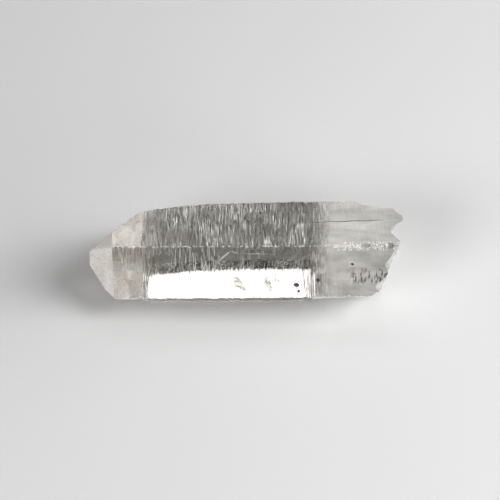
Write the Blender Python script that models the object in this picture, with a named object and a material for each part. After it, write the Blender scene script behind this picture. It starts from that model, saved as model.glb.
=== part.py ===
"""Lemurian quartz point: one natural rock-crystal point, lying on a prism face.

The crystal's c axis runs along X, the point is at -X and the broken root at +X.
Its six prism faces stand at 60 degrees to each other and carry growth ledges
that run straight across them, like the rungs of a ladder.  Rhombohedral faces,
all 38.2 degrees from the axis, make a chisel-shaped point, and the very tip is
worn off.  The root is a rough fracture with chips along its edges.

Metres, +Z up.  The origin is at the bottom centre of the crystal's box.
"""

import math
import random

import bmesh
import bpy
from mathutils import Vector, noise

MM = 0.001

# Driving dimensions, in metres
LENGTH = 80.2 * MM               # point to the furthest that the broken root could reach
AXIS_HEIGHT = 9.8 * MM           # c axis above the face the crystal lies on
RHOMB_SLOPE = math.radians(38.2)  # angle of every termination face to the c axis

# Prism faces: direction of the outward normal about the c axis (0 is +Y, 90 is +Z),
# distance from the axis at the shoulder and at the root, and how early along the
# crystal the change between the two happens (near 0 is evenly, above 0 is nearer the
# point, below 0 is nearer the root).
PRISM_FACES = (
    # azimuth, at shoulder, at root, earliness
    (30.0, 6.4 * MM, 11.6 * MM, 6.6),      # back upper
    (90.0, 9.8 * MM, 12.6 * MM, 0.1),      # top
    (150.0, 10.5 * MM, 13.3 * MM, 0.1),    # front upper
    (210.0, 13.2 * MM, 12.5 * MM, -4.0),   # front lower
    (270.0, 9.8 * MM, 9.8 * MM, 0.1),      # bottom, the face it lies on
    (330.0, 7.0 * MM, 12.8 * MM, 6.0),     # back lower
)
BOTTOM_FACE = 4
BOTTOM_LEVEL_FROM = 14.6 * MM    # nearer the point the bottom face rises
BOTTOM_RISE = 0.39

# Termination faces: azimuth, and where each one's plane meets the c axis,
# measured along X from the point.
RHOMB_FACES = (
    (30.0, 1.65 * MM),
    (90.0, -6.4 * MM),
    (150.0, -7.1 * MM),
    (210.0, -9.7 * MM),
    (270.0, 1.8 * MM),
    (330.0, 1.9 * MM),
)
WORN_TIP = 0.15 * MM             # the very tip is worn off flat at this x

# Growth ledges across the prism faces
SHOULDER = 5.0 * MM              # where the ladder of ledges begins, from the point
SOFT_UNTIL = 14.6 * MM           # nearer the point the ledges are lower
SMOOTH_FROM = 60.0 * MM          # nearer the root they fade out
LEDGE_SPACING = (0.45 * MM, 1.25 * MM)
LEDGE_RELIEF = 0.10 * MM         # how far a single ledge stands in or out
SOFT_SHARE = 0.4                 # share of that relief near the point
SMOOTH_SHARE = 0.12              # and near the root
LEDGE_SLOPE = math.tan(math.radians(50.0))
LEDGE_SEED = 7

# Broken root: a leaning, uneven surface with shell-shaped scoops
ROOT_CELL = 1.3 * MM
ROOT_LEAN_FRONT = 0.62           # how fast the break runs back towards the front edge
ROOT_LEAN_DOWN = 0.22
FRONT_LEAN_FROM = 5.5 * MM       # the lean to the front starts this far from the axis
ROOT_ROUGHNESS = 0.55 * MM
ROOT_SCOOPS = (
    # y and z from the axis, radius, depth; a depth below 0 is a lump
    (-3.3 * MM, 12.0 * MM, 3.3 * MM, 3.0 * MM),
    (-0.6 * MM, 8.5 * MM, 3.6 * MM, 1.9 * MM),
    (5.4 * MM, 12.5 * MM, 3.8 * MM, 2.8 * MM),
    (4.0 * MM, 2.0 * MM, 7.0 * MM, 2.6 * MM),
    (-7.5 * MM, 4.0 * MM, 3.2 * MM, 1.5 * MM),
    (8.0 * MM, -5.0 * MM, 5.0 * MM, 1.8 * MM),
    (-12.3 * MM, 5.4 * MM, 2.8 * MM, -1.5 * MM),
    (-14.8 * MM, 1.3 * MM, 1.8 * MM, -1.0 * MM),
)

# Chips, each an ellipsoid bitten out of the surface.  Its centre lies at x from the
# point, out from the axis along an azimuth, and aside from that line; its radii are
# along the crystal, outwards and sideways.
CHIPS = {
    # name: (x, azimuth, out, aside), (along, outwards, sideways)
    "chip_underside": ((70.5 * MM, 210.0, 14.4 * MM, 3.6 * MM), (15.6 * MM, 4.6 * MM, 10.6 * MM)),
    "chip_back": ((77.6 * MM, 30.0, 12.9 * MM, 2.0 * MM), (12.0 * MM, 4.1 * MM, 11.0 * MM)),
    "chip_ridge": ((70.2 * MM, 122.0, 14.9 * MM, 0.0), (1.7 * MM, 0.8 * MM, 1.0 * MM)),
    "chip_ridge_near_root": ((76.4 * MM, 122.0, 15.1 * MM, 0.0), (1.2 * MM, 0.9 * MM, 1.3 * MM)),
    "chip_front_edge": ((75.6 * MM, 178.0, 16.2 * MM, 0.0), (2.9 * MM, 1.6 * MM, 2.6 * MM)),
    "pit_front": ((52.9 * MM, 150.0, 12.5 * MM, 4.4 * MM), (0.8 * MM, 0.5 * MM, 0.6 * MM)),
}
CHIP_WOBBLE = 0.06               # how uneven a chip is, as a share of its radii


def clear_scene():
    for item in list(bpy.data.objects):
        bpy.data.objects.remove(item, do_unlink=True)


def collection(name):
    group = bpy.data.collections.new(name)
    bpy.context.scene.collection.children.link(group)
    return group


def quartz_material():
    material = bpy.data.materials.new("quartz")
    material.use_nodes = True
    shader = material.node_tree.nodes["Principled BSDF"]
    shader.inputs["Base Color"].default_value = (0.88, 0.87, 0.85, 1.0)
    shader.inputs["Roughness"].default_value = 0.08
    shader.inputs["Metallic"].default_value = 0.0
    shader.inputs["Transmission Weight"].default_value = 1.0
    shader.inputs["IOR"].default_value = 1.544
    return material


def radial(azimuth):
    """Unit vector across the c axis; azimuth 0 is +Y and 90 is +Z."""
    angle = math.radians(azimuth)
    return Vector((0.0, math.cos(angle), math.sin(angle)))


def ledge_stations(rng):
    """Where the ledges lie along the crystal."""
    stations = []
    x = SHOULDER
    while x < LENGTH:
        stations.append(x)
        x += rng.uniform(*LEDGE_SPACING)
    return stations


def widening(along, earliness):
    """Share of the change done, from 0 at the shoulder to 1 at the root."""
    return (1.0 - math.exp(-earliness * along)) / (1.0 - math.exp(-earliness))


def ledge_share(x):
    """Share of the full ledge relief that the ledges have at x."""
    if x < SOFT_UNTIL:
        return SOFT_SHARE
    if x > SMOOTH_FROM:
        return SMOOTH_SHARE
    return 1.0


def with_bottom(distances, x):
    """The distances with a bottom face that is level, but rises towards the point."""
    changed = list(distances)
    changed[BOTTOM_FACE] -= BOTTOM_RISE * max(0.0, BOTTOM_LEVEL_FROM - x)
    return changed


def prism_sections():
    """Face distances from the axis at both sides of every ledge, as (x, distances)."""
    rng = random.Random(LEDGE_SEED)
    start = [face[1] for face in PRISM_FACES]
    sections = [(-2.0 * MM, start)]
    before = start
    for x in ledge_stations(rng):
        along = (x - SHOULDER) / (LENGTH - SHOULDER)
        after = []
        for azimuth, near_tip, near_root, earliness in PRISM_FACES:
            relief = rng.uniform(-1.0, 1.0) * LEDGE_RELIEF * ledge_share(x)
            after.append(near_tip + (near_root - near_tip) * widening(along, earliness) + relief)
        after[BOTTOM_FACE] = before[BOTTOM_FACE]
        highest = max(abs(new - old) for new, old in zip(after, before))
        sections.append((x, before))
        sections.append((x + highest / LEDGE_SLOPE, after))
        before = after
    sections.append((LENGTH + 4.0 * MM, before))
    return [(x, with_bottom(distances, x)) for x, distances in sections]


def section_ring(x, distances):
    """The six corners of the prism at x, each where two neighbouring faces meet."""
    ring = []
    count = len(PRISM_FACES)
    for index in range(count):
        first = radial(PRISM_FACES[index][0])
        second = radial(PRISM_FACES[(index + 1) % count][0])
        near = distances[index]
        far = distances[(index + 1) % count]
        spread = first.y * second.z - first.z * second.y
        y = (near * second.z - far * first.z) / spread
        z = (far * first.y - near * second.y) / spread
        ring.append(Vector((x, y, z + AXIS_HEIGHT)))
    return ring


def loft(sections):
    """A closed prism through all the sections."""
    mesh = bmesh.new()
    rings = []
    for x, distances in sections:
        rings.append([mesh.verts.new(corner) for corner in section_ring(x, distances)])
    for lower, upper in zip(rings, rings[1:]):
        for index in range(len(lower)):
            after = (index + 1) % len(lower)
            mesh.faces.new((lower[index], lower[after], upper[after], upper[index]))
    mesh.faces.new(rings[0])
    mesh.faces.new(list(reversed(rings[-1])))
    bmesh.ops.recalc_face_normals(mesh, faces=mesh.faces)
    return mesh


def slice_off(mesh, meets_axis, normal):
    """Remove what lies outside a plane through the c axis, and close the cut."""
    result = bmesh.ops.bisect_plane(
        mesh,
        geom=list(mesh.verts) + list(mesh.edges) + list(mesh.faces),
        dist=1e-7,
        plane_co=Vector((meets_axis, 0.0, AXIS_HEIGHT)),
        plane_no=normal,
        clear_outer=True,
    )
    rim = [item for item in result["geom_cut"] if isinstance(item, bmesh.types.BMEdge)]
    bmesh.ops.contextual_create(mesh, geom=rim)


def cut_termination(mesh):
    """Slice off everything outside each rhombohedral face, then the worn tip."""
    towards_tip = Vector((-1.0, 0.0, 0.0))
    for azimuth, meets_axis in RHOMB_FACES:
        normal = radial(azimuth) * math.cos(RHOMB_SLOPE) + towards_tip * math.sin(RHOMB_SLOPE)
        slice_off(mesh, meets_axis, normal)
    slice_off(mesh, WORN_TIP, towards_tip)
    bmesh.ops.recalc_face_normals(mesh, faces=mesh.faces)


def root_depth(y, z):
    """How far the break stands behind LENGTH at a point (y, z) from the axis."""
    towards_front = max(0.0, -y - FRONT_LEAN_FROM)
    depth = ROOT_LEAN_FRONT * towards_front + ROOT_LEAN_DOWN * max(0.0, 12.0 * MM - z)
    for scoop_y, scoop_z, radius, scoop_depth in ROOT_SCOOPS:
        ratio = math.hypot(y - scoop_y, z - scoop_z) / radius
        if ratio < 1.0:
            depth += scoop_depth * (1.0 - ratio * ratio)
    spot = Vector((y, z, 0.0)) / (3.0 * MM)
    return depth + ROOT_ROUGHNESS * (noise.noise(spot) + 0.4)


def root_cutter(group):
    """A block whose near side is the shape of the break."""
    mesh = bmesh.new()
    half = 20.0 * MM
    cells = round(2.0 * half / ROOT_CELL)
    bmesh.ops.create_grid(mesh, x_segments=cells, y_segments=cells, size=half)
    for vertex in mesh.verts:
        y = vertex.co.x
        z = vertex.co.y
        vertex.co = Vector((LENGTH - root_depth(y, z), y, z + AXIS_HEIGHT))
    grown = bmesh.ops.extrude_face_region(mesh, geom=list(mesh.faces))
    far_side = [item for item in grown["geom"] if isinstance(item, bmesh.types.BMVert)]
    for vertex in far_side:
        vertex.co.x = LENGTH + 10.0 * MM
    bmesh.ops.recalc_face_normals(mesh, faces=mesh.faces)
    return add_object("root_break", mesh, group)


def chip_cutter(name, place, radii, group):
    """An ellipsoid that leaves a shell-shaped chip."""
    x, azimuth, out, aside = place
    outwards = radial(azimuth)
    sideways = radial(azimuth + 90.0)
    centre = Vector((x, 0.0, AXIS_HEIGHT)) + outwards * out + sideways * aside
    mesh = bmesh.new()
    bmesh.ops.create_icosphere(mesh, subdivisions=3, radius=1.0)
    for vertex in mesh.verts:
        spot = vertex.co * (1.0 + CHIP_WOBBLE * noise.noise(vertex.co * 2.0))
        offset = Vector((spot.x * radii[0], 0.0, 0.0))
        vertex.co = centre + offset + outwards * (spot.y * radii[1]) + sideways * (spot.z * radii[2])
    return add_object(name, mesh, group)


def add_object(name, mesh, group):
    data = bpy.data.meshes.new(name)
    mesh.to_mesh(data)
    mesh.free()
    item = bpy.data.objects.new(name, data)
    group.objects.link(item)
    return item


def subtract(body, cutter):
    cutter.hide_render = True
    cutter.display_type = "WIRE"
    modifier = body.modifiers.new(cutter.name, "BOOLEAN")
    modifier.operation = "DIFFERENCE"
    modifier.solver = "MANIFOLD"
    modifier.object = cutter


def centre_on_origin(body, cutters):
    """Move the crystal and its cutters so the box stands centred on the origin."""
    bpy.context.view_layer.update()
    shape = body.evaluated_get(bpy.context.evaluated_depsgraph_get()).to_mesh()
    xs = [vertex.co.x for vertex in shape.vertices]
    ys = [vertex.co.y for vertex in shape.vertices]
    zs = [vertex.co.z for vertex in shape.vertices]
    shift = Vector((-(min(xs) + max(xs)) / 2.0, -(min(ys) + max(ys)) / 2.0, -min(zs)))
    for item in [body] + cutters:
        item.location = shift


def build():
    clear_scene()
    crystal_group = collection("lemurian_quartz_point")
    cutter_group = collection("cutters")
    mesh = loft(prism_sections())
    cut_termination(mesh)
    crystal = add_object("quartz_point", mesh, crystal_group)
    crystal.data.materials.append(quartz_material())
    cutters = [root_cutter(cutter_group)]
    for name, (place, radii) in CHIPS.items():
        cutters.append(chip_cutter(name, place, radii, cutter_group))
    for cutter in cutters:
        subtract(crystal, cutter)
    centre_on_origin(crystal, cutters)


build()
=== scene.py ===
"""The looks of a lemurian quartz point: a clear, finely ridged crystal on a pale floor.

The crystal is built again from the CAD model's dimensions, with finer forms: striae, worn
edges, hackle, pits, fissures, and cracks inside. While it is built, x runs from the point to
the broken root and azimuths turn about the c axis: 0 is +Y and 90 is +Z. Metres, +Z up.
"""

import math
import random
from collections import namedtuple

import bmesh
import bpy
from mathutils import Matrix, Vector, noise


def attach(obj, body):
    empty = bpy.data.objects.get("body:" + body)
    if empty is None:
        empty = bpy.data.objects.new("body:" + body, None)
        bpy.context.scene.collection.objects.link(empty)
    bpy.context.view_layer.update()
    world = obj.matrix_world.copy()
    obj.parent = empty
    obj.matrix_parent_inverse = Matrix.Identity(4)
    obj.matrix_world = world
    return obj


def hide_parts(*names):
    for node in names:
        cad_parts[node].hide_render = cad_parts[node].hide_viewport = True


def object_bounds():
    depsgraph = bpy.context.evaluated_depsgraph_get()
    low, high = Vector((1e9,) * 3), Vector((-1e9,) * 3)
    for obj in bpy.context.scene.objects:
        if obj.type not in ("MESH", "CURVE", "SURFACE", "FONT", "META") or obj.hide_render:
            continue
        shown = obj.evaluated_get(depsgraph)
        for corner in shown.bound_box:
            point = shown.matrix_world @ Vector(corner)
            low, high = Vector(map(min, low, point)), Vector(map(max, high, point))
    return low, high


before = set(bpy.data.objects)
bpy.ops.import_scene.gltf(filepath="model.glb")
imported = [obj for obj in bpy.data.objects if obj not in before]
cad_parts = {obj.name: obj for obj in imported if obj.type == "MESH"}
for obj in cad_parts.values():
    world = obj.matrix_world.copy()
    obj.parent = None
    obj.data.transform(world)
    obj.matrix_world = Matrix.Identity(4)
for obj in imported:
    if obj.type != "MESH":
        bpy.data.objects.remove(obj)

CAD_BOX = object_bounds()
NODE = "quartz_point"
BODY = "root"
MM = 0.001
ORIGIN = Vector((0.0, 0.0, 0.0))

# ---- Kinds of surface ----
Surface = namedtuple("Surface", "index roughness milk")
CLEAN = 0
GROWN = 1
BROKEN = 2
WORN = 3
CRACK = 4
PIT = 5
SURFACES = {
    # index on the mesh, added roughness, and milk: the share of the light that is scattered
    "grown": Surface(GROWN, 0.25, 0.62),
    "broken": Surface(BROKEN, 0.20, 0.16),
    "worn": Surface(WORN, 0.25, 0.00),       # its milk is WORN_MILK
    "crack": Surface(CRACK, 0.10, 0.00),     # its milk is CRACK_MILK
    "pit": Surface(PIT, 0.50, 1.00),
}
CLEAN_ROUGHNESS = 0.02
FROSTED_ROUGHNESS = 0.38         # added on the frosted underside
FROSTED_MILK = 0.65
OTHER_MARKS = ["frosted", "ridged", "front"]  # what the mesh also says of each of its faces

# ---- The crystal's own dimensions, as in the CAD model ----
LENGTH = 80.2 * MM               # point to the furthest that the broken root could reach
AXIS_HEIGHT = 9.8 * MM           # c axis above the face that the crystal lies on
RHOMB_SLOPE = math.radians(38.2)  # angle of every termination face to the c axis
PRISM_FACES = (
    # azimuth, distance at the shoulder, distance at the root, and how early the change comes
    (30.0, 6.4 * MM, 11.6 * MM, 6.6),
    (90.0, 9.8 * MM, 12.6 * MM, 0.1),
    (150.0, 10.5 * MM, 13.3 * MM, 0.1),
    (210.0, 13.2 * MM, 12.5 * MM, -4.0),
    (270.0, 9.8 * MM, 9.8 * MM, 0.1),
    (330.0, 7.0 * MM, 12.8 * MM, 6.0),
)
TOP_FACE = 1
FRONT_FACE = 2
BOTTOM_FACE = 4
FACE_COUNT = len(PRISM_FACES)
FACE_TURN = 360.0 / FACE_COUNT
BOTTOM_LEVEL_FROM = 14.6 * MM    # nearer the point the bottom face rises
BOTTOM_RISE = 0.39
OVERSHOOT = 2.0 * MM             # how far the uncut prism reaches past the point and the root
RHOMB_FACES = (
    # azimuth, and where the face's plane meets the c axis
    (30.0, 1.65 * MM),
    (90.0, -6.4 * MM),
    (150.0, -7.1 * MM),
    (210.0, -9.7 * MM),
    (270.0, 1.8 * MM),
    (330.0, 1.9 * MM),
)
WORN_TIP = 0.15 * MM             # the very tip is worn off flat at this x
SHOULDER = 5.0 * MM              # where the growth ledges begin
SOFT_UNTIL = 14.6 * MM           # nearer the point the ledges are lower
SMOOTH_FROM = 60.0 * MM          # nearer the root they fade out
LEDGE_SPACING = (0.45 * MM, 1.25 * MM)
LEDGE_RELIEF = 0.10 * MM         # how far a single ledge stands in or out
SOFT_SHARE = 0.4                 # share of that relief near the point
SMOOTH_SHARE = 0.12              # and near the root
LEDGE_SLOPE = math.tan(math.radians(50.0))  # how steeply a ledge rises
LEDGE_SEED = 7
ROOT_LEAN_FRONT = 0.62           # how fast the break runs back towards the front edge
ROOT_LEAN_DOWN = 0.22            # and downwards
FRONT_LEAN_FROM = 5.5 * MM       # in front of the axis
DOWN_LEAN_FROM = 12.0 * MM       # above the axis
ROOT_ROUGHNESS = 0.55 * MM
ROOT_GRAIN = 3.0 * MM            # size of that roughness
ROOT_RECESS = 0.4                # how far it stands back on average, as a share of it
ROOT_SCOOPS = (
    # y and z from the axis, radius, depth; a depth below 0 is a lump
    (-3.3 * MM, 12.0 * MM, 3.3 * MM, 3.0 * MM),
    (-0.6 * MM, 8.5 * MM, 3.6 * MM, 1.9 * MM),
    (5.4 * MM, 12.5 * MM, 3.8 * MM, 2.8 * MM),
    (4.0 * MM, 2.0 * MM, 7.0 * MM, 2.6 * MM),
    (-7.5 * MM, 4.0 * MM, 3.2 * MM, 1.5 * MM),
    (8.0 * MM, -5.0 * MM, 5.0 * MM, 1.8 * MM),
    (-12.3 * MM, 5.4 * MM, 2.8 * MM, -1.5 * MM),
    (-14.8 * MM, 1.3 * MM, 1.8 * MM, -1.0 * MM),
)
CHIPS = {
    # name: (x, azimuth, out, aside), (radius along, outwards, sideways), kind of surface
    "chip_underside": ((70.5 * MM, 210.0, 14.4 * MM, 3.6 * MM), (15.6 * MM, 4.6 * MM, 10.6 * MM), BROKEN),
    "chip_back": ((77.6 * MM, 30.0, 12.9 * MM, 2.0 * MM), (12.0 * MM, 4.1 * MM, 11.0 * MM), BROKEN),
    "chip_ridge": ((70.2 * MM, 122.0, 14.9 * MM, 0.0), (1.7 * MM, 0.8 * MM, 1.0 * MM), BROKEN),
    "chip_ridge_near_root": ((76.4 * MM, 122.0, 15.1 * MM, 0.0), (1.2 * MM, 0.9 * MM, 1.3 * MM), BROKEN),
    "chip_front_edge": ((75.6 * MM, 178.0, 16.2 * MM, 0.0), (2.9 * MM, 1.6 * MM, 2.6 * MM), BROKEN),
    "pit_front": ((52.9 * MM, 150.0, 12.5 * MM, 4.4 * MM), (0.8 * MM, 0.5 * MM, 0.6 * MM), PIT),
}
CHIP_WOBBLE = 0.06               # how uneven a chip is, as a share of its radii
CHIP_LUMPS = 2.0                 # lumps of that over a radius

# ---- Fine surface, on top of the CAD shape ----
RING_SPACING = 0.09 * MM         # along the crystal, between rings of points
POINTS_ACROSS = (6, 16, 16, 6, 6, 6)  # on each prism face
EDGE_POINTS = (0.0, 0.18 * MM, 0.5 * MM)  # from each prism edge
FIRST_RING = SHOULDER - 0.01 * MM     # nearer the point there are no finer rings
CUT_TOLERANCE = 1e-7
EVEN_FACES = (TOP_FACE, FRONT_FACE)   # without ledges in the photo, the top one near its ends
STRIAE = (
    # size along the crystal, size across a face, relief
    (0.60 * MM, 7.0 * MM, 0.042 * MM),
    (0.30 * MM, 4.0 * MM, 0.030 * MM),
)
STRIA_SHARPNESS = 12.0           # how steep the steps between the flat treads are
FACES_APART = 7.3                # between the faces' places in the noise
LAYERS_APART = 40.0              # and between its two layers
FACE_RELIEF = (0.4, 1.0, 0.6, 0.4, 0.10, 0.3)  # share of the relief on each prism face
STRIAE_FADE = (57.0 * MM, 62.0 * MM)  # the striae die out towards the root
STRIAE_FROM = (13.0 * MM, 14.0 * MM, 0.0, 15.0 * MM, 15.7 * MM, 15.0 * MM)  # on each face
STRIAE_RISE = 0.5 * MM           # they come up over this length
FADED_RELIEF = 0.06              # share of the relief left where the striae have faded
EDGE_WEAR = (0.05 * MM, 0.4 * MM)     # depth, and reach on both sides of a prism edge
RIDGE_WEAR = (0.22 * MM, 0.8 * MM)    # the same on the chipped ridge
RIDGE_WORN_FROM = (60.0 * MM, 65.0 * MM)   # the ridge between the top and the front face
WEAR_GRAIN = 0.55 * MM
WEAR_MEAN = 0.35                 # share of the depth that is worn off on average
EDGES_APART = 9.0 * MM           # between the edges' places in the noise
WORN_DEPTH = 0.012 * MM          # the mesh counts as worn from this depth
RHOMB_EDGE_WEAR = 0.10 * MM
ROOT_CELL = 0.35 * MM
ROOT_REACH = 18.0 * MM           # half the side of the break's cutter
ROOT_CUTTER_END = LENGTH + 10.0 * MM
HACKLE_STEPS = (1.6 * MM, 0.25 * MM)      # size and depth
HACKLE_RIPPLES = (0.7 * MM, 0.12 * MM)
FROSTED_FROM = 57.0 * MM
FROST_GRAIN = 2.0 * MM
FROST_WOBBLE = 0.4 * MM          # of the edge between clear and frosted
UNFROSTED = (60.0, 180.0)        # azimuths of the faces that stay clear
BIG_CHIP = 5.0 * MM              # above this radius a chip's cutter is divided more finely
BIG_CHIP_DIVISIONS = 5
CHIP_DIVISIONS = 3
PIT_DIVISIONS = 3
CRACK_DIVISIONS = 4              # of cracks, veils and the fissures' cutters

# ---- Cracks, veils, pits and fissures: in the part's own frame and in millimetres ----
CRACKS = (
    # one end, the other end, half width; first the long crack high on the front face
    ((-7.4, -8.7, 16.5), (-3.9, -6.9, 19.3), 0.30),
    ((-3.9, -6.9, 19.2), (-1.6, -7.6, 18.6), 0.10),
    ((-1.3, -7.45, 18.75), (7.6, -7.7, 18.9), 0.07),
    ((8.6, -8.3, 17.6), (12.0, -7.6, 18.9), 0.16),
    ((10.2, -8.6, 17.0), (13.4, -7.7, 18.7), 0.22),
    ((12.6, -8.7, 17.1), (16.4, -7.6, 19.0), 0.14),
    ((7.9, -8.9, 16.6), (9.9, -8.5, 17.4), 0.30),
    # then the grey patches below it
    ((-3.4, -11.46, 12.18), (-0.2, -12.16, 10.98), 0.90),
    ((4.6, -11.65, 12.48), (6.6, -12.35, 11.28), 0.80),
    ((6.9, -11.0, 13.26), (8.6, -11.5, 12.56), 0.45),
    ((-3.0, -10.73, 13.02), (-1.0, -11.23, 11.92), 0.50),
    ((-1.8, -12.12, 10.85), (0.2, -12.42, 10.05), 0.50),
    ((5.0, -10.89, 13.48), (5.9, -11.89, 11.38), 0.60),
    ((5.4, -12.36, 11.09), (6.9, -12.66, 10.19), 0.45),
)
VEIL_COUNT = 9                   # placed at random in the end near the root
VEIL_SEED = 5
VEIL_X = (20.0, 28.5)
VEIL_Y = (-5.5, 5.0)
VEIL_Z = (6.0, 16.0)
VEIL_TURN = (-0.4, 0.4)          # y of the direction that a veil runs in; its x is 1
VEIL_DROP = (-0.5, 0.2)          # z of that direction
VEIL_LEAN = (-1.0, 0.4)          # y of the direction that it faces; its z is 1
VEIL_HALF_LENGTH = (2.5, 4.5)
VEIL_HALF_WIDTH = (0.8, 2.2)
CRACK_THICKNESS = 0.03
CRACKS_APART = 3.1               # between their places in the noise
CRACK_RIM = (0.45, 1.7)          # how uneven the rim is: share of the radii, waves over a radius
CRACK_WARP = (0.22, 1.3)         # and how far it is bent: share of the half width, waves
PITS = (
    # place on the front face, radius
    ((18.3, -12.0, 13.5), 0.50),
    ((13.4, -13.4, 10.7), 0.36),
    ((26.9, -9.9, 17.6), 0.34),
)
PIT_WOBBLE = 0.25                # how uneven a pit is, as a share of its radius
PIT_GRAIN = 0.3
FISSURES = (
    # one end and the other end on the surface, half width, kind of surface
    ((16.3, 0.31, 21.52), (35.5, 0.57, 22.22), 0.10, PIT),
    ((-7.4, -8.9, 16.7), (-3.9, -7.4, 19.8), 0.17, WORN),
    ((-3.9, -7.4, 19.8), (-1.5, -7.8, 19.2), 0.10, WORN),
    ((-1.5, -7.8, 19.2), (6.1, -8.0, 19.4), 0.06, WORN),
)
FISSURE_BEND = 0.12              # how far a fissure strays from its straight line
FISSURE_WAVES = 3.0              # over half its length

# ---- Material: places are x, y and z in the part's own frame ----
QUARTZ_IOR = 1.544
ABSORPTION = 12.0
ABSORPTION_COLOUR = (0.5, 0.49, 0.455, 1.0)
FALLING = (1.0, 0.0)             # of a share that falls between two places
MOST_MILK = 0.97
LINE_MILK = 0.90                 # of the fine etched lines between the treads
SPARKLE_MILK = 0.90              # of the chipped spots on worn edges
CRACK_HEIGHTS = (13.0 * MM, 15.5 * MM)   # z
CRACK_MILK = (0.18, 0.95)        # of the inner cracks, low and high in the crystal
WORN_MILK = (0.45, 0.06)         # of the worn edges, along the crystal and near the root
HAZE_MILK = 0.48                 # of the hazy end near the root
HAZE_FROM = (16.0 * MM, 22.0 * MM)       # x
PALE_TO = (-26.0 * MM, -25.2 * MM)       # x; the pale, even part next to the point
PALE_MILK = 0.38
BAND_FROM = (13.8 * MM, 17.2 * MM)       # z; the upper part of the front face, darkened by painted shade
BAND_TO = (17.0 * MM, 19.5 * MM)         # x
# painted shade: how much of the grey the band gets
BAND_SHADE = 0.38
SHADED_SHARE = 0.75              # of the painted shade on the lines between the striae
PINK_TO = (-26.0 * MM, -24.0 * MM)       # x
GREEN_FROM = (30.0 * MM, 34.0 * MM)      # x
STAINED_FROM = (24.0 * MM, 27.0 * MM)    # x
HATCHED_FROM = (25.5 * MM, 27.5 * MM)    # x; dirt is hatched in as a stripe near the root
HATCHED_IN_FRONT = (-6.0 * MM, -4.0 * MM)     # y; none is hatched in behind this
HATCH_HEIGHT = 14.9 * MM
HATCH_HALF = 2.2 * MM
HATCH_CORE = 0.6 * HATCH_HALF    # within this the stripe is full
HATCH_SHARE = 0.8

# Noise patterns: grain sizes along x, y and z; the noise values between which the pattern
# changes; its shares there; how many finer layers the noise has; and how far it is stirred.
Pattern = namedtuple("Pattern", "grain noise shares detail stir", defaults=((0.0, 1.0), 2.0, 0.0))
GRANULES = Pattern((0.4 * MM, 0.4 * MM, 0.4 * MM), (0.3, 0.7), (0.8, 1.15), 3.0)
CLOUDS = Pattern((4.0 * MM, 5.0 * MM, 5.0 * MM), (0.35, 0.65), (0.35, 1.1), 3.0)
SPARKLES = Pattern((0.30 * MM, 0.22 * MM, 0.22 * MM), (0.53, 0.64))
ETCHED_LINES = Pattern((0.20 * MM, 3.5 * MM, 3.5 * MM), (0.52, 0.58))
LINE_CLUSTERS = Pattern((6.0 * MM, 5.0 * MM, 5.0 * MM), (0.34, 0.56))
SHADED_LINES = Pattern((0.22 * MM, 4.5 * MM, 4.5 * MM), (0.42, 0.48), FALLING)
WISPS = Pattern((9.0 * MM, 3.0 * MM, 3.0 * MM), (0.35, 0.7), (0.6, 1.0), 2.0, 0.3)
BLOTCHES = Pattern((5.0 * MM, 4.0 * MM, 4.0 * MM), (0.4, 0.6))
STAINS = Pattern((1.1 * MM, 0.7 * MM, 0.7 * MM), (0.58, 0.66), detail=3.0)
HATCHES = Pattern((0.5 * MM, 1.5 * MM, 1.5 * MM), (0.51, 0.60))

# Bump, for what is finer than the mesh: grain sizes along x, y and z, and relief
HAIR_STRIA = (0.13 * MM, 2.0 * MM, 2.0 * MM)
HAIR_RELIEF = 0.030 * MM
HAIR_DETAIL = 2.0
GRAIN = (0.22 * MM, 0.22 * MM, 0.22 * MM)
GRAIN_RELIEF = 0.035 * MM
GRAIN_DETAIL = 3.0
GRAIN_SHARES = {"grown": 0.3, "broken": 1.0, "worn": 1.0, "frosted": 0.6, "crack": 0.5}

WHITE = (1.0, 0.985, 0.95, 1.0)
PINK = (1.0, 0.94, 0.89, 1.0)
GREEN = (0.98, 0.99, 0.93, 1.0)
DIRT = (0.16, 0.145, 0.12, 1.0)
# painted shade: the broken faces are greyed so that the lamps on the right don't light them to white
SHADED_BREAK = (0.62, 0.62, 0.60, 1.0)
# painted shade: the grey mixed in on the lines between the striae and on the front face's upper band
SHADE = (0.22, 0.22, 0.21, 1.0)

# ---- Floor and backdrop ----
FLOOR_HALF = 2.0
FLOOR_GAP = 0.1 * MM             # between the floor and the lowest point of the crystal
FLOOR_COLOUR = (0.78, 0.78, 0.78, 1.0)
FLOOR_ROUGHNESS = 0.6
BACKDROP_LIFT = 0.3 * MM         # of its level part, which lies just over the floor
BACKDROP_STEPS = 96
BACKDROP_PROFILE = (
    # radius, height, how far it hides the floor; metres
    (0.12, BACKDROP_LIFT, 0.0),
    (0.17, BACKDROP_LIFT, 0.10),
    (0.23, BACKDROP_LIFT, 0.35),
    (0.30, BACKDROP_LIFT, 0.65),
    (0.38, BACKDROP_LIFT, 0.90),
    (0.46, BACKDROP_LIFT, 1.0),
    (1.30, BACKDROP_LIFT, 1.0),
    (1.52, 0.09, 1.0),
    (1.60, 0.30, 1.0),
    (1.60, 2.40, 1.0),
)
BACKDROP_TONE = 0.60
BACKDROP_COLOUR = (0.0, 0.0, 0.0, 1.0)    # it reflects nothing, but glows evenly
BACKDROP_GLOW = (1.0, 1.0, 1.0, 1.0)

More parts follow.
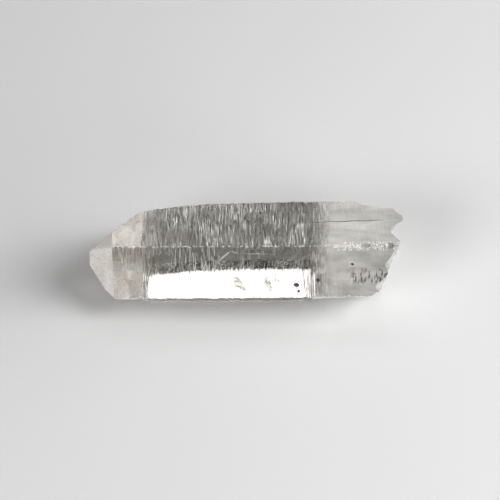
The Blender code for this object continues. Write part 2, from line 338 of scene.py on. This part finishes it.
# ---- Light ----
LIGHT_DISTANCE = 0.9
WORLD_COLOUR = (0.02, 0.02, 0.02, 1.0)
SOFTBOXES = (
    # name, elevation, azimuth, (width, height), radiance; azimuth 0 is behind the crystal
    ("back_softbox", 55.0, 0.0, (0.60, 0.17), 2.2),
    ("front_softbox", 65.0, 180.0, (0.42, 0.32), 1.6),
    ("left_softbox", 35.0, -135.0, (0.42, 0.32), 7.4),
    ("right_tall_softbox", 32.0, 95.0, (0.42, 0.92), 7.5),
    ("right_low_softbox", 10.0, 80.0, (0.42, 0.32), 8.0),
    ("front_right_softbox", 12.0, 130.0, (0.42, 0.32), 5.8),
)
VIEW_GAMMA = 0.8                 # below 1 the midtones are darker, as in the photo

# ---- View ----
CAMERA_ELEVATION = math.radians(53.2)
CAMERA_DISTANCE = 652.0 * MM
CAMERA_NEAR = 0.01
CAMERA_LENS = 180.0              # millimetres, as is the sensor's width
SENSOR_WIDTH = 36.0
IMAGE_SIDE = 500.0               # pixels
METRES_PER_PIXEL = SENSOR_WIDTH / CAMERA_LENS * CAMERA_DISTANCE / IMAGE_SIDE
ORIGIN_PIXEL = (246.0, 273.6)    # where the part's origin stands in the photo


def radial(azimuth):
    """Unit vector across the c axis."""
    angle = math.radians(azimuth)
    return Vector((0.0, math.cos(angle), math.sin(angle)))


def ramp(value, start, end):
    """0 before start, 1 after end."""
    return max(0.0, min(1.0, (value - start) / (end - start)))


def face_distance(index, along):
    """How far a prism face is from the axis; along is 0 at the shoulder and 1 at the root."""
    near_tip, near_root, earliness = PRISM_FACES[index][1:]
    widening = (1.0 - math.exp(-earliness * along)) / (1.0 - math.exp(-earliness))
    return near_tip + (near_root - near_tip) * widening


def ledge_share(x):
    """Share of the full ledge relief that the ledges have at x."""
    if x < SOFT_UNTIL:
        return SOFT_SHARE
    if x > SMOOTH_FROM:
        return SMOOTH_SHARE
    return 1.0


def with_even_faces(distances, x):
    """No steps on the front face and both ends of the top; the underside rises to the point."""
    changed = list(distances)
    along = ramp(x, SHOULDER, LENGTH)
    for index in EVEN_FACES:
        if index == FRONT_FACE or not SOFT_UNTIL < x < SMOOTH_FROM:
            changed[index] = face_distance(index, along)
    changed[BOTTOM_FACE] -= BOTTOM_RISE * max(0.0, BOTTOM_LEVEL_FROM - x)
    return changed


def ledge_stations(rng):
    """Where the ledges lie along the crystal."""
    stations = []
    x = SHOULDER
    while x < LENGTH:
        stations.append(x)
        x += rng.uniform(*LEDGE_SPACING)
    return stations


def ledge_sections():
    """Face distances from the axis at both sides of every ledge, as (x, distances)."""
    rng = random.Random(LEDGE_SEED)
    start = [face[1] for face in PRISM_FACES]
    sections = [(-OVERSHOOT, start)]
    before = start
    for x in ledge_stations(rng):
        along = (x - SHOULDER) / (LENGTH - SHOULDER)
        after = []
        for index in range(FACE_COUNT):
            relief = rng.uniform(-1.0, 1.0) * LEDGE_RELIEF * ledge_share(x)
            after.append(face_distance(index, along) + relief)
        after[BOTTOM_FACE] = before[BOTTOM_FACE]
        highest = max(abs(new - old) for new, old in zip(after, before))
        sections.append((x, before))
        sections.append((x + highest / LEDGE_SLOPE, after))
        before = after
    sections.append((LENGTH + 2.0 * OVERSHOOT, before))
    return [(x, with_even_faces(distances, x)) for x, distances in sections]


def distances_at(sections, x):
    """Face distances at x, straight between the ledges' sections."""
    for (x0, low), (x1, high) in zip(sections, sections[1:]):
        if x0 <= x <= x1 and x1 > x0:
            part = (x - x0) / (x1 - x0)
            return [a + (b - a) * part for a, b in zip(low, high)]
    return sections[-1][1]


def stria_strength(face, x):
    """1 on the ridged part of a face, and nearly 0 on its smooth parts."""
    start = STRIAE_FROM[face]
    strength = ramp(x, start - STRIAE_RISE, start) * (1.0 - ramp(x, *STRIAE_FADE))
    return FADED_RELIEF + (1.0 - FADED_RELIEF) * strength


def stria_height(face, x, across):
    """Height of the fine steps on a face; across is measured over the face."""
    height = 0.0
    for layer, (along_size, across_size, layer_relief) in enumerate(STRIAE):
        apart = face * FACES_APART + layer * LAYERS_APART
        spot = Vector((x / along_size, across / across_size, apart))
        height += layer_relief * math.tanh(STRIA_SHARPNESS * noise.noise(spot))
    height *= stria_strength(face, x) * FACE_RELIEF[face]
    if face == BOTTOM_FACE:
        return -abs(height)
    return height


def wear_depth(edge, x, from_edge):
    """How deep the worn edge is; edge is the number of the face that starts there."""
    depth, reach = EDGE_WEAR
    if edge == FRONT_FACE:
        chipped = ramp(x, *RIDGE_WORN_FROM)
        depth += (RIDGE_WEAR[0] - depth) * chipped
        reach += (RIDGE_WEAR[1] - reach) * chipped
    grain = noise.noise(Vector((x, from_edge, edge * EDGES_APART)) / WEAR_GRAIN)
    return depth * max(0.0, WEAR_MEAN + grain) * max(0.0, 1.0 - abs(from_edge) / reach)


def corner(index, near, far):
    """Where a face and the next one meet, seen along the axis, at these distances from it."""
    first = radial(PRISM_FACES[index][0])
    second = radial(PRISM_FACES[(index + 1) % FACE_COUNT][0])
    spread = first.y * second.z - first.z * second.y
    y = (near * second.z - far * first.z) / spread
    z = (far * first.y - near * second.y) / spread
    return Vector((0.0, y, z))


def places_across(index, width):
    """Distances over a face from its first edge: close together near both edges."""
    inner_start = EDGE_POINTS[-1]
    inner_width = width - 2.0 * inner_start
    count = POINTS_ACROSS[index]
    places = list(EDGE_POINTS[:-1])
    places += [inner_start + inner_width * step / count for step in range(count + 1)]
    places.append(width - EDGE_POINTS[1])
    return places


def dense_ring(x, distances):
    """(point, wear) round the prism at x, with the fine steps and the worn edges."""
    ring = []
    for index in range(FACE_COUNT):
        after = (index + 1) % FACE_COUNT
        start = corner(index - 1, distances[index - 1], distances[index])
        end = corner(index, distances[index], distances[after])
        width = (end - start).length
        outward = radial(PRISM_FACES[index][0])
        for place in places_across(index, width):
            wear = wear_depth(index, x, place) + wear_depth(after, x, place - width)
            lift = stria_height(index, x, place) - wear
            point = start.lerp(end, place / width) + outward * lift
            # Nothing stands below the rest face, or higher than the CAD model does.
            height = max(0.0, min(point.z + AXIS_HEIGHT, CAD_BOX[1].z))
            ring.append((Vector((x, point.y, height)), wear))
    return ring


def crystal_body():
    """The whole prism, with its steps, striae and worn edges, before anything is cut off."""
    sections = ledge_sections()
    stations = [-OVERSHOOT, FIRST_RING]
    while stations[-1] < LENGTH + OVERSHOOT:
        stations.append(stations[-1] + RING_SPACING)
    mesh = bmesh.new()
    rings = []
    for x in stations:
        ring = dense_ring(x, distances_at(sections, x))
        rings.append([(mesh.verts.new(point), wear) for point, wear in ring])
    for lower, upper in zip(rings, rings[1:]):
        for index in range(len(lower)):
            after = (index + 1) % len(lower)
            around = (lower[index], lower[after], upper[after], upper[index])
            face = mesh.faces.new([vertex for vertex, wear in around])
            if sum(wear for vertex, wear in around) > len(around) * WORN_DEPTH:
                face.material_index = WORN
    mesh.faces.new([vertex for vertex, wear in rings[0]])
    mesh.faces.new([vertex for vertex, wear in reversed(rings[-1])])
    bmesh.ops.recalc_face_normals(mesh, faces=mesh.faces)
    return mesh


def slice_off(mesh, place, normal, surface):
    """Remove what lies outside a plane, and close the cut with this kind of surface."""
    result = bmesh.ops.bisect_plane(
        mesh,
        geom=list(mesh.verts) + list(mesh.edges) + list(mesh.faces),
        dist=CUT_TOLERANCE,
        plane_co=place,
        plane_no=normal,
        clear_outer=True,
    )
    rim = [item for item in result["geom_cut"] if isinstance(item, bmesh.types.BMEdge)]
    if not rim:
        return
    for face in bmesh.ops.contextual_create(mesh, geom=rim)["faces"]:
        face.material_index = surface


def cut_termination(mesh):
    """Six rhomb faces, the worn edges between them, and the worn tip."""
    towards_tip = Vector((-1.0, 0.0, 0.0))
    planes = []
    for azimuth, meets_axis in RHOMB_FACES:
        normal = radial(azimuth) * math.cos(RHOMB_SLOPE) + towards_tip * math.sin(RHOMB_SLOPE)
        place = Vector((meets_axis, 0.0, AXIS_HEIGHT))
        planes.append((normal, normal.dot(place)))
        slice_off(mesh, place, normal, GROWN)
    for (normal, offset), (next_normal, next_offset) in zip(planes, planes[1:] + planes[:1]):
        both = normal + next_normal
        depth = (offset + next_offset) / both.length - RHOMB_EDGE_WEAR
        slice_off(mesh, both.normalized() * depth, both.normalized(), WORN)
    slice_off(mesh, Vector((WORN_TIP, 0.0, AXIS_HEIGHT)), towards_tip, WORN)
    bmesh.ops.recalc_face_normals(mesh, faces=mesh.faces)


def add_object(name, mesh):
    """Turn a bmesh into an object of the scene."""
    data = bpy.data.meshes.new(name)
    mesh.to_mesh(data)
    mesh.free()
    item = bpy.data.objects.new(name, data)
    bpy.context.scene.collection.objects.link(item)
    return item


def add_cutter(name, mesh, slots, surface):
    """A cutter whose surface says what the surface that it cuts is like."""
    for face in mesh.faces:
        face.material_index = surface
    cutter = add_object(name, mesh)
    for slot in slots:
        cutter.data.materials.append(slot)
    return cutter


def bite(body, cutter):
    """Take the cutter's shape out of the body, then remove the cutter."""
    modifier = body.modifiers.new(cutter.name, "BOOLEAN")
    modifier.operation = "DIFFERENCE"
    modifier.solver = "MANIFOLD"
    modifier.object = cutter
    bpy.context.view_layer.update()
    evaluated = body.evaluated_get(bpy.context.evaluated_depsgraph_get())
    shape = bpy.data.meshes.new_from_object(evaluated)
    body.modifiers.clear()
    body.data = shape
    bpy.data.objects.remove(cutter, do_unlink=True)


def root_depth(y, z):
    """How far the break stands behind LENGTH at a point (y, z) from the axis."""
    towards_front = max(0.0, -y - FRONT_LEAN_FROM)
    depth = ROOT_LEAN_FRONT * towards_front + ROOT_LEAN_DOWN * max(0.0, DOWN_LEAN_FROM - z)
    for scoop_y, scoop_z, radius, scoop_depth in ROOT_SCOOPS:
        ratio = math.hypot(y - scoop_y, z - scoop_z) / radius
        if ratio < 1.0:
            depth += scoop_depth * (1.0 - ratio * ratio)
    spot = Vector((y, z, 0.0)) / ROOT_GRAIN
    return depth + ROOT_ROUGHNESS * (noise.noise(spot) + ROOT_RECESS)


def hackle(y, z):
    """The break's fine roughness: steps and ripples, always inside the CAD surface."""
    spot = Vector((y, z, 0.0))
    step_size, step_depth = HACKLE_STEPS
    ripple_size, ripple_depth = HACKLE_RIPPLES
    steps = noise.voronoi(spot / step_size)[0][0]
    ripples = 0.5 + 0.5 * noise.noise(spot / ripple_size)
    return step_depth * steps + ripple_depth * ripples


def root_cutter(slots):
    """A block whose near side is the shape of the break."""
    mesh = bmesh.new()
    cells = round(2.0 * ROOT_REACH / ROOT_CELL)
    bmesh.ops.create_grid(mesh, x_segments=cells, y_segments=cells, size=ROOT_REACH)
    for vertex in mesh.verts:
        y = vertex.co.x
        z = vertex.co.y
        vertex.co = Vector((LENGTH - root_depth(y, z) - hackle(y, z), y, z + AXIS_HEIGHT))
    grown = bmesh.ops.extrude_face_region(mesh, geom=list(mesh.faces))
    for item in grown["geom"]:
        if isinstance(item, bmesh.types.BMVert):
            item.co.x = ROOT_CUTTER_END
    bmesh.ops.recalc_face_normals(mesh, faces=mesh.faces)
    return add_cutter("root_break", mesh, slots, BROKEN)


def chip_cutter(name, place, radii, surface, slots):
    """An uneven ellipsoid that leaves a shell-shaped chip."""
    x, azimuth, out, aside = place
    outwards = radial(azimuth)
    sideways = radial(azimuth + 90.0)
    centre = Vector((x, 0.0, AXIS_HEIGHT)) + outwards * out + sideways * aside
    mesh = bmesh.new()
    divisions = BIG_CHIP_DIVISIONS if max(radii) > BIG_CHIP else CHIP_DIVISIONS
    bmesh.ops.create_icosphere(mesh, subdivisions=divisions, radius=1.0)
    for vertex in mesh.verts:
        spot = vertex.co * (1.0 + CHIP_WOBBLE * noise.noise(vertex.co * CHIP_LUMPS))
        offset = Vector((spot.x * radii[0], 0.0, 0.0))
        vertex.co = centre + offset + outwards * (spot.y * radii[1]) + sideways * (spot.z * radii[2])
    return add_cutter(name, mesh, slots, surface)


def pit_cutter(slots):
    """All the small pits of the front face in one cutter."""
    mesh = bmesh.new()
    for place, radius in PITS:
        made = bmesh.ops.create_icosphere(mesh, subdivisions=PIT_DIVISIONS, radius=radius * MM)
        for vertex in made["verts"]:
            spot = vertex.co * (1.0 + PIT_WOBBLE * noise.noise(vertex.co / (PIT_GRAIN * MM)))
            vertex.co = spot + Vector(place) * MM
    return add_cutter("pits", mesh, slots, PIT)


def fissure_cutter(first, second, half_width, surface, slots):
    """A long thin body, slightly bent, that opens a fissure between two places."""
    reach = (Vector(second) - Vector(first)) / 2.0
    middle = (Vector(second) + Vector(first)) / 2.0
    turn = reach.to_track_quat("X", "Z")
    mesh = bmesh.new()
    bmesh.ops.create_icosphere(mesh, subdivisions=CRACK_DIVISIONS, radius=1.0)
    for vertex in mesh.verts:
        bend = FISSURE_BEND * noise.noise(Vector((vertex.co.x * FISSURE_WAVES, 0.0, 0.0)))
        side = vertex.co.y * half_width + bend
        spot = Vector((vertex.co.x * reach.length, side, vertex.co.z * half_width))
        vertex.co = (turn @ spot + middle) * MM
    return add_cutter("fissure", mesh, slots, surface)


def add_crack(mesh, middle, along, facing, radii, variant):
    """A thin closed hollow with an uneven rim; its faces point into it, out of the quartz."""
    along = along.normalized()
    side = facing.cross(along).normalized()
    facing = along.cross(side)
    rim_share, rim_waves = CRACK_RIM
    warp_share, warp_waves = CRACK_WARP
    made = bmesh.ops.create_icosphere(mesh, subdivisions=CRACK_DIVISIONS, radius=1.0)
    for vertex in made["verts"]:
        flat = Vector((vertex.co.x, vertex.co.y, variant * CRACKS_APART))
        rim = 1.0 + rim_share * noise.noise(flat * rim_waves)
        warp = warp_share * radii[1] * noise.noise(flat * warp_waves)
        lift = vertex.co.z * radii[2] + warp
        place = middle + along * (vertex.co.x * radii[0] * rim)
        vertex.co = (place + side * (vertex.co.y * radii[1] * rim) + facing * lift) * MM
    faces = list({face for vertex in made["verts"] for face in vertex.link_faces})
    for face in faces:
        face.material_index = CRACK
    bmesh.ops.reverse_faces(mesh, faces=faces)


def add_inner_cracks(data):
    """The cracks just under the front face, and the veils deeper in near the root."""
    mesh = bmesh.new()
    mesh.from_mesh(data)
    front = radial(PRISM_FACES[FRONT_FACE][0])
    for variant, (first, second, half_width) in enumerate(CRACKS):
        first = Vector(first)
        second = Vector(second)
        radii = ((second - first).length / 2.0, half_width, CRACK_THICKNESS)
        add_crack(mesh, (first + second) / 2.0, second - first, front, radii, variant)
    rng = random.Random(VEIL_SEED)
    for variant in range(VEIL_COUNT):
        middle = Vector((rng.uniform(*VEIL_X), rng.uniform(*VEIL_Y), rng.uniform(*VEIL_Z)))
        along = Vector((1.0, rng.uniform(*VEIL_TURN), rng.uniform(*VEIL_DROP)))
        facing = Vector((0.0, rng.uniform(*VEIL_LEAN), 1.0))
        half_length = rng.uniform(*VEIL_HALF_LENGTH)
        radii = (half_length, rng.uniform(*VEIL_HALF_WIDTH), CRACK_THICKNESS)
        add_crack(mesh, middle, along, facing, radii, variant + len(CRACKS))
    mesh.to_mesh(data)
    mesh.free()


def normal_azimuth(polygon):
    return math.degrees(math.atan2(polygon.normal.z, polygon.normal.y)) % 360.0


def is_frosted(polygon, x):
    """Towards the root, the faces that look down or back are frosted."""
    if polygon.material_index in (BROKEN, CRACK, PIT):
        return False
    edge = FROSTED_FROM + FROST_WOBBLE * noise.noise(polygon.center / FROST_GRAIN)
    return x > edge and not UNFROSTED[0] < normal_azimuth(polygon) < UNFROSTED[1]


def prism_face(polygon):
    """The number of the prism face that this part of the mesh belongs to."""
    return round((normal_azimuth(polygon) - PRISM_FACES[0][0]) / FACE_TURN) % FACE_COUNT


def ridged_share(polygon, x):
    """How strong the striae are here."""
    if polygon.material_index != CLEAN:
        return 0.0
    face = prism_face(polygon)
    return stria_strength(face, x) * FACE_RELIEF[face]


def is_front(polygon):
    return polygon.material_index == CLEAN and prism_face(polygon) == FRONT_FACE


def mark_surface(data, tip_x):
    """Store what each face is like, for the material: one attribute for each mark."""
    kinds = [polygon.material_index for polygon in data.polygons]
    places = [polygon.center.x - tip_x for polygon in data.polygons]
    marks = {}
    for name, surface in SURFACES.items():
        marks[name] = [float(kind == surface.index) for kind in kinds]
    marks["frosted"] = [float(is_frosted(p, x)) for p, x in zip(data.polygons, places)]
    marks["ridged"] = [ridged_share(p, x) for p, x in zip(data.polygons, places)]
    marks["front"] = [float(is_front(polygon)) for polygon in data.polygons]
    for name, values in marks.items():
        attribute = data.attributes.new(name, "FLOAT", "FACE")
        attribute.data.foreach_set("value", values)
    data.polygons.foreach_set("material_index", [0] * len(kinds))


def centre_in_box(data):
    """Put the point where the CAD model's point is, and centre the crystal across."""
    ys = [vertex.co.y for vertex in data.vertices]
    lowest_x = min(vertex.co.x for vertex in data.vertices)
    shift = Vector((CAD_BOX[0].x - lowest_x, -(min(ys) + max(ys)) / 2.0, 0.0))
    data.transform(Matrix.Translation(shift))
    return shift


def build_crystal():
    """The crystal's one mesh: grown, cut, broken, chipped, cracked, and marked for its material."""
    mesh = crystal_body()
    cut_termination(mesh)
    crystal = add_object("crystal", mesh)
    # While the crystal is cut, an empty material stands for each kind of surface.
    slots = [bpy.data.materials.new(name) for name in ["clean"] + list(SURFACES)]
    for slot in slots:
        crystal.data.materials.append(slot)
    bite(crystal, root_cutter(slots))
    for name, (place, radii, surface) in CHIPS.items():
        bite(crystal, chip_cutter(name, place, radii, surface, slots))
    shift = centre_in_box(crystal.data)
    bite(crystal, pit_cutter(slots))
    for first, second, half_width, surface in FISSURES:
        bite(crystal, fissure_cutter(first, second, half_width, surface, slots))
    add_inner_cracks(crystal.data)
    mark_surface(crystal.data, shift.x)
    crystal.data.materials.clear()
    crystal.data.materials.append(quartz_material())
    for slot in slots:
        bpy.data.materials.remove(slot)
    return crystal


def new_material(name):
    """A material, its node tree and its Principled shader."""
    material = bpy.data.materials.new(name)
    material.use_nodes = True
    tree = material.node_tree
    return material, tree, tree.nodes["Principled BSDF"]


def feed(tree, sockets, inputs):
    """Set sockets: each input is a number, a colour, a vector or another node's socket."""
    for name, value in inputs.items():
        if isinstance(value, bpy.types.NodeSocket):
            tree.links.new(value, sockets[name])
        else:
            sockets[name].default_value = value


def new_node(tree, kind, inputs=None, **settings):
    """Add a node with these settings, which come first because sockets can depend on them."""
    node = tree.nodes.new(kind)
    for name, value in settings.items():
        setattr(node, name, value)
    feed(tree, node.inputs, inputs or {})
    return node


def maths(tree, operation, first, second):
    return new_node(tree, "ShaderNodeMath", {0: first, 1: second}, operation=operation).outputs[0]


def product(tree, *factors):
    """All the factors multiplied."""
    total = factors[0]
    for factor in factors[1:]:
        total = maths(tree, "MULTIPLY", total, factor)
    return total


def total_of(tree, parts, base=0.0):
    """base plus, for each part, its mark times its amount."""
    total = base
    for mark, amount in parts:
        total = maths(tree, "ADD", maths(tree, "MULTIPLY", mark, amount), total)
    return total


def between(tree, value, low, high, to_low=0.0, to_high=1.0):
    """A share that changes evenly while the value goes from low to high."""
    inputs = {"Value": value, "From Min": low, "From Max": high, "To Min": to_low, "To Max": to_high}
    return new_node(tree, "ShaderNodeMapRange", inputs).outputs["Result"]


def noise_field(tree, place, grain, detail, stir=0.0):
    """Noise whose grain has the given size along x, y and z."""
    scale = tuple(1.0 / size for size in grain)
    scaled = new_node(tree, "ShaderNodeMapping", {"Vector": place, "Scale": scale})
    inputs = {"Vector": scaled.outputs[0], "Scale": 1.0, "Detail": detail, "Distortion": stir}
    return new_node(tree, "ShaderNodeTexNoise", inputs).outputs["Fac"]


def share_of(tree, place, pattern):
    """The share that a pattern has at each place."""
    field = noise_field(tree, place, pattern.grain, pattern.detail, pattern.stir)
    return between(tree, field, *pattern.noise, *pattern.shares)


def mix_colour(tree, share, first, second):
    """The first colour where the share is 0, and the second where it is 1."""
    mix = new_node(tree, "ShaderNodeMix", data_type="RGBA")
    # The node's sockets have the same names for other kinds of value, which are not enabled.
    sockets = {socket.name: socket for socket in mix.inputs if socket.enabled}
    feed(tree, sockets, {"Factor": share, "A": first, "B": second})
    return next(socket for socket in mix.outputs if socket.enabled)


def surface_marks(tree, axes):
    """The mesh's marks, and where the front face's band of painted shade and the pale part are."""
    marks = {}
    for name in list(SURFACES) + OTHER_MARKS:
        marks[name] = new_node(tree, "ShaderNodeAttribute", attribute_name=name).outputs["Fac"]
    before_root = between(tree, axes["X"], *BAND_TO, *FALLING)
    marks["band"] = product(tree, marks["front"], between(tree, axes["Z"], *BAND_FROM), before_root)
    outside_band = maths(tree, "SUBTRACT", 1.0, marks["band"])
    marks["pale"] = product(tree, outside_band, between(tree, axes["X"], *PALE_TO, *FALLING))
    return marks


def milky_share(tree, place, axes, marks):
    """Scattering by the kind of surface, in fine granules."""
    parts = [(marks[name], surface.milk) for name, surface in SURFACES.items()]
    parts.append((marks["frosted"], FROSTED_MILK))
    parts.append((marks["pale"], product(tree, share_of(tree, place, CLOUDS), PALE_MILK)))
    parts.append((marks["crack"], between(tree, axes["Z"], *CRACK_HEIGHTS, *CRACK_MILK)))
    parts.append((marks["worn"], between(tree, axes["X"], *HAZE_FROM, *WORN_MILK)))
    milky = product(tree, total_of(tree, parts), share_of(tree, place, GRANULES))
    sparkles = product(tree, marks["worn"], share_of(tree, place, SPARKLES), SPARKLE_MILK)
    return maths(tree, "ADD", milky, sparkles)


def etched_share(tree, place, marks):
    """Scattering by the fine etched lines, which come in clusters."""
    etched = share_of(tree, place, ETCHED_LINES)
    clusters = share_of(tree, place, LINE_CLUSTERS)
    lined = product(tree, marks["ridged"], maths(tree, "SUBTRACT", 1.0, marks["pale"]))
    return product(tree, etched, clusters, lined, LINE_MILK)


def scattering(tree, place, axes, marks):
    """Share of the light that the surface scatters instead of letting it through."""
    milky = milky_share(tree, place, axes, marks)
    lines = etched_share(tree, place, marks)
    near_root = between(tree, axes["X"], *HAZE_FROM)
    haze = product(tree, near_root, share_of(tree, place, WISPS), HAZE_MILK)
    total = maths(tree, "ADD", maths(tree, "ADD", milky, lines), haze)
    return maths(tree, "MINIMUM", total, MOST_MILK)


def shaded_share(tree, place, axes, marks):
    """Painted shade: dark lines between the striae, and a dark band high on the front face."""
    upper = between(tree, axes["Z"], *BAND_FROM)
    lines = share_of(tree, place, SHADED_LINES)
    shaded = product(tree, lines, marks["ridged"], upper, SHADED_SHARE)
    return maths(tree, "MAXIMUM", shaded, product(tree, marks["band"], BAND_SHADE))


def dirt_share(tree, place, axes, marks):
    """Stains on the frosted underside, dirt hatched in near the root, and dirt in pits."""
    stained_part = between(tree, axes["X"], *STAINED_FROM)
    stained = product(tree, marks["frosted"], stained_part, share_of(tree, place, STAINS))
    from_stripe = maths(tree, "SUBTRACT", axes["Z"], HATCH_HEIGHT)
    from_stripe = maths(tree, "ABSOLUTE", from_stripe, 0.0)
    stripe = between(tree, from_stripe, HATCH_CORE, HATCH_HALF, *FALLING)
    near_root = between(tree, axes["X"], *HATCHED_FROM)
    in_front = between(tree, axes["Y"], *HATCHED_IN_FRONT, *FALLING)
    hatches = share_of(tree, place, HATCHES)
    hatched = product(tree, near_root, in_front, stripe, hatches, HATCH_SHARE)
    return maths(tree, "MAXIMUM", maths(tree, "MAXIMUM", stained, hatched), marks["pit"])


def quartz_colour(tree, place, axes, marks):
    """White, with a pink cast near the point and a green one at the root; grey painted shade on the
    break, the lines between the striae and the front face's upper band; dirt in parts.
    """
    blotches = share_of(tree, place, BLOTCHES)
    pink_share = product(tree, between(tree, axes["X"], *PINK_TO, *FALLING), blotches)
    colour = mix_colour(tree, pink_share, WHITE, PINK)
    green_share = product(tree, between(tree, axes["X"], *GREEN_FROM), blotches)
    colour = mix_colour(tree, green_share, colour, GREEN)
    # painted shade on the broken faces
    colour = mix_colour(tree, marks["broken"], colour, SHADED_BREAK)
    # painted shade on the lines between the striae and on the front face's upper band
    colour = mix_colour(tree, shaded_share(tree, place, axes, marks), colour, SHADE)
    return mix_colour(tree, dirt_share(tree, place, axes, marks), colour, DIRT)


def relief(tree, place, marks):
    """Bump for what is finer than the mesh: hair-fine striae, and grain on rough surfaces."""
    hairs = noise_field(tree, place, HAIR_STRIA, HAIR_DETAIL)
    grain = noise_field(tree, place, GRAIN, GRAIN_DETAIL)
    parts = [(marks[name], share) for name, share in GRAIN_SHARES.items()]
    rough = product(tree, total_of(tree, parts), grain, GRAIN_RELIEF)
    height = maths(tree, "ADD", product(tree, marks["ridged"], hairs, HAIR_RELIEF), rough)
    inputs = {"Height": height, "Distance": 1.0, "Strength": 1.0}
    return new_node(tree, "ShaderNodeBump", inputs).outputs["Normal"]


def quartz_material():
    """Clear quartz: it lets light through, except where its surface scatters it."""
    material, tree, shader = new_material("quartz")
    place = new_node(tree, "ShaderNodeTexCoord").outputs["Object"]
    axes = new_node(tree, "ShaderNodeSeparateXYZ", {"Vector": place}).outputs
    marks = surface_marks(tree, axes)
    rough_parts = [(marks[name], surface.roughness) for name, surface in SURFACES.items()]
    rough_parts.append((marks["frosted"], FROSTED_ROUGHNESS))
    milk = scattering(tree, place, axes, marks)
    inputs = {
        "IOR": QUARTZ_IOR,
        "Roughness": total_of(tree, rough_parts, CLEAN_ROUGHNESS),
        "Transmission Weight": maths(tree, "SUBTRACT", 1.0, milk),
        "Base Color": quartz_colour(tree, place, axes, marks),
        "Normal": relief(tree, place, marks),
    }
    feed(tree, shader.inputs, inputs)
    inputs = {"Color": ABSORPTION_COLOUR, "Density": ABSORPTION}
    absorption = new_node(tree, "ShaderNodeVolumeAbsorption", inputs).outputs["Volume"]
    tree.links.new(absorption, tree.nodes["Material Output"].inputs["Volume"])
    return material


def build_floor():
    mesh = bmesh.new()
    bmesh.ops.create_grid(mesh, x_segments=1, y_segments=1, size=FLOOR_HALF)
    floor = add_object("floor", mesh)
    floor.location.z = -FLOOR_GAP
    material, tree, shader = new_material("floor")
    feed(tree, shader.inputs, {"Base Color": FLOOR_COLOUR, "Roughness": FLOOR_ROUGHNESS})
    floor.data.materials.append(material)


def backdrop_mesh():
    """Rings that lie on the floor and then rise; each vertex says how far it hides the floor."""
    mesh = bmesh.new()
    layer = mesh.verts.layers.float.new("cover")
    rings = []
    for radius, height, cover in BACKDROP_PROFILE:
        ring = []
        for step in range(BACKDROP_STEPS):
            turn = 2.0 * math.pi * step / BACKDROP_STEPS
            vertex = mesh.verts.new((radius * math.cos(turn), radius * math.sin(turn), height))
            vertex[layer] = cover
            ring.append(vertex)
        rings.append(ring)
    for inner, outer in zip(rings, rings[1:]):
        for step in range(BACKDROP_STEPS):
            after = (step + 1) % BACKDROP_STEPS
            mesh.faces.new((inner[step], inner[after], outer[after], outer[step]))
    return mesh


def build_backdrop():
    """A pale round sweep, clear over the crystal's own floor and solid further out.

    The camera alone sees it, so it throws no light on the crystal.
    """
    backdrop = add_object("backdrop", backdrop_mesh())
    material, tree, shader = new_material("backdrop")
    cover = new_node(tree, "ShaderNodeAttribute", attribute_name="cover").outputs["Fac"]
    inputs = {
        "Base Color": BACKDROP_COLOUR,
        "Specular IOR Level": 0.0,
        "Emission Color": BACKDROP_GLOW,
        "Emission Strength": BACKDROP_TONE,
        "Alpha": cover,
    }
    feed(tree, shader.inputs, inputs)
    backdrop.data.materials.append(material)
    backdrop.visible_diffuse = False
    backdrop.visible_glossy = False
    backdrop.visible_transmission = False
    backdrop.visible_shadow = False


def polar(elevation, azimuth, distance):
    """A place seen from the origin; azimuth 0 is +Y, behind the crystal, and 90 is +X."""
    up = math.radians(elevation)
    turn = math.radians(azimuth)
    flat = distance * math.cos(up)
    return Vector((flat * math.sin(turn), flat * math.cos(turn), distance * math.sin(up)))


def build_softbox(name, elevation, azimuth, size, radiance):
    """A rectangular softbox that looks at the crystal and shows this radiance."""
    width, height = size
    place = polar(elevation, azimuth, LIGHT_DISTANCE)
    data = bpy.data.lights.new(name, "AREA")
    data.shape = "RECTANGLE"
    data.size = width
    data.size_y = height
    data.energy = radiance * math.pi * width * height
    lamp = bpy.data.objects.new(name, data)
    bpy.context.scene.collection.objects.link(lamp)
    lamp.location = place
    lamp.rotation_euler = (ORIGIN - place).to_track_quat("-Z", "Y").to_euler()


def build_lights():
    for softbox in SOFTBOXES:
        build_softbox(*softbox)
    world = bpy.data.worlds.new("world")
    bpy.context.scene.world = world
    world.use_nodes = True
    world.node_tree.nodes["Background"].inputs["Color"].default_value = WORLD_COLOUR


def set_tone_curve():
    """Plain colours, with the photo's contrast."""
    settings = bpy.context.scene.view_settings
    settings.view_transform = "Standard"
    settings.gamma = VIEW_GAMMA


def build_camera():
    """The photo's view: from the front and above, with the origin at its own pixel."""
    data = bpy.data.cameras.new("camera")
    data.lens = CAMERA_LENS
    data.sensor_width = SENSOR_WIDTH
    data.clip_start = CAMERA_NEAR
    camera = bpy.data.objects.new("camera", data)
    bpy.context.scene.collection.objects.link(camera)
    forward = Vector((0.0, math.cos(CAMERA_ELEVATION), -math.sin(CAMERA_ELEVATION)))
    upward = Vector((0.0, math.sin(CAMERA_ELEVATION), math.cos(CAMERA_ELEVATION)))
    right_pixels = IMAGE_SIDE / 2.0 - ORIGIN_PIXEL[0]
    up_pixels = ORIGIN_PIXEL[1] - IMAGE_SIDE / 2.0
    target = (Vector((right_pixels, 0.0, 0.0)) + upward * up_pixels) * METRES_PER_PIXEL
    camera.location = target - forward * CAMERA_DISTANCE
    camera.rotation_euler = forward.to_track_quat("-Z", "Y").to_euler()
    bpy.context.scene.camera = camera


crystal = build_crystal()
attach(crystal, BODY)
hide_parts(NODE)
build_floor()
build_backdrop()
build_lights()
set_tone_curve()
build_camera()
